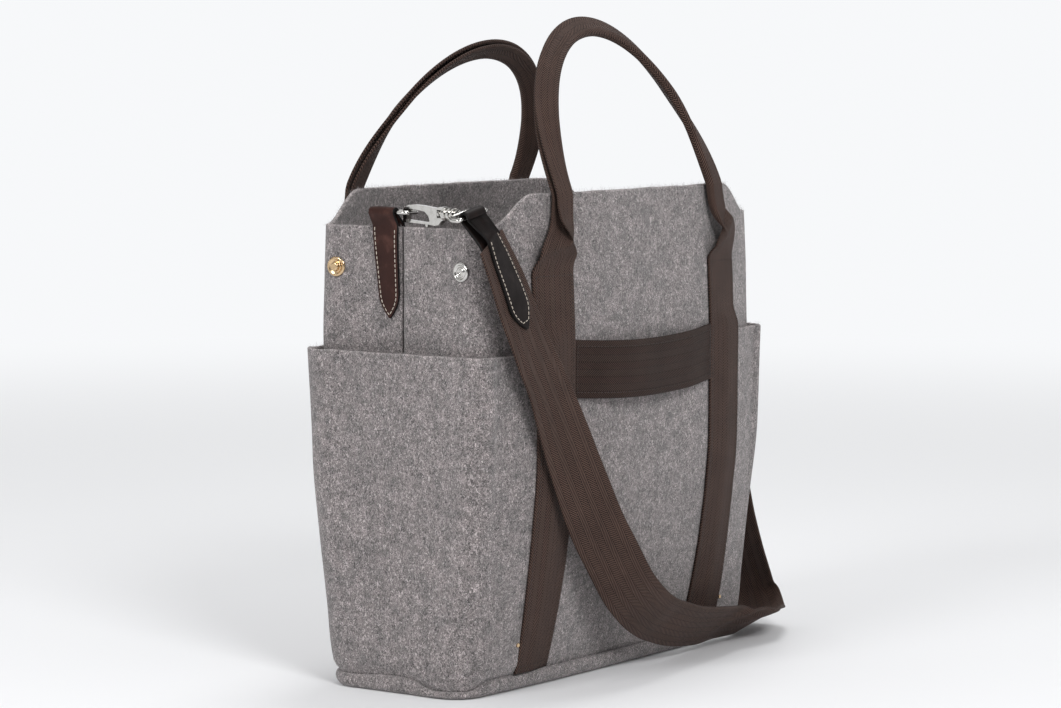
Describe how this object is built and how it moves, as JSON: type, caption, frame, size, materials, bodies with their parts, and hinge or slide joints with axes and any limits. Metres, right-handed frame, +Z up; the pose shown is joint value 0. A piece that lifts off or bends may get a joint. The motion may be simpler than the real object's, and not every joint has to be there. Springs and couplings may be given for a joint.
{
  "type": "knitting bag",
  "caption": "Open-topped felt project bag with swinging webbing handles, end pockets, a front band and a clip-on webbing shoulder strap.",
  "frame": {"origin": "centre of the flat underside, on the surface the bag stands on", "axes": "+X along the wide faces towards the right end, -Y out of the front face with the band, +Z up"},
  "size_m": [0.3839, 0.1965, 0.4325],
  "materials": {
    "felt": "matte, mottled warm grey wool felt",
    "webbing": "matte, dark brown herringbone webbing",
    "leather_tab": "satin, reddish brown",
    "leather_dark": "satin, black-brown",
    "nickel": "polished nickel plate",
    "brass": "polished, slightly worn",
    "thread": "cream waxed thread"
  },
  "bodies": {
    "root": {"base_tray": "felt", "body_front_half": "felt", "body_rear_half": "felt", "left_end_pocket": "felt", "right_end_pocket": "felt", "front_left_strap": "webbing", "front_right_strap": "webbing", "rear_left_strap": "webbing", "rear_right_strap": "webbing", "front_band": "webbing", "left_tab": "leather_tab", "right_tab": "leather_tab", "left_clasp_eye": "nickel", "right_clasp_eye": "nickel", "left_strap_end": "leather_dark", "right_strap_end": "leather_dark", "shoulder_strap": "webbing", "snap_sockets": "nickel", "snap_studs": "brass", "snap_backs": "nickel", "strap_tacks": "brass"},
    "front_handle": {"front_handle": "webbing"},
    "rear_handle": {"rear_handle": "webbing"},
    "left_ring": {"left_ring": "nickel"},
    "left_clasp": {"left_clasp_hook": "nickel", "left_clasp_pin": "nickel", "left_clasp_spring": "nickel"},
    "left_gate": {"left_clasp_gate": "nickel"},
    "right_ring": {"right_ring": "nickel"},
    "right_clasp": {"right_clasp_hook": "nickel", "right_clasp_pin": "nickel", "right_clasp_spring": "nickel"},
    "right_gate": {"right_clasp_gate": "nickel"}
  },
  "joints": [
    {"name": "front_handle_swing", "type": "hinge", "parent": "root", "child": "front_handle", "pos_m": [0, -0.0808, 0.27], "axis": [1, 0, 0], "range_deg": [0, 150]},
    {"name": "rear_handle_swing", "type": "hinge", "parent": "root", "child": "rear_handle", "pos_m": [0, 0.0808, 0.27], "axis": [-1, 0, 0], "range_deg": [0, 150]},
    {"name": "left_ring_swing", "type": "hinge", "parent": "root", "child": "left_ring", "pos_m": [-0.1605, 0.009, 0.308], "axis": [0, 1, 0], "range_deg": [-3, 6]},
    {"name": "left_clasp_swivel", "type": "hinge", "parent": "root", "child": "left_clasp", "pos_m": [-0.1546, -0.0062, 0.308], "axis": [0.1564, 0.9877, 0], "range_deg": [-6, 6]},
    {"name": "left_gate_open", "type": "hinge", "parent": "left_clasp", "child": "left_gate", "pos_m": [-0.15785, -0.02674, 0.3028], "axis": [0.9877, -0.1564, 0], "range_deg": [0, 4], "stiffness_Nm_per_rad": 0.01, "springref_deg": -17.19},
    {"name": "right_ring_swing", "type": "hinge", "parent": "root", "child": "right_ring", "pos_m": [0.1605, 0.009, 0.308], "axis": [0, -1, 0], "range_deg": [-2, 4]},
    {"name": "right_clasp_swivel", "type": "hinge", "parent": "root", "child": "right_clasp", "pos_m": [0.16599, 0.009, 0.29622], "axis": [-0.1219, 0, 0.9925], "range_deg": [-6, 6]},
    {"name": "right_gate_open", "type": "hinge", "parent": "right_clasp", "child": "right_gate", "pos_m": [0.17369, 0.009, 0.27621], "axis": [0, -1, 0], "range_deg": [0, 4], "stiffness_Nm_per_rad": 0.01, "springref_deg": -17.19}
  ]
}
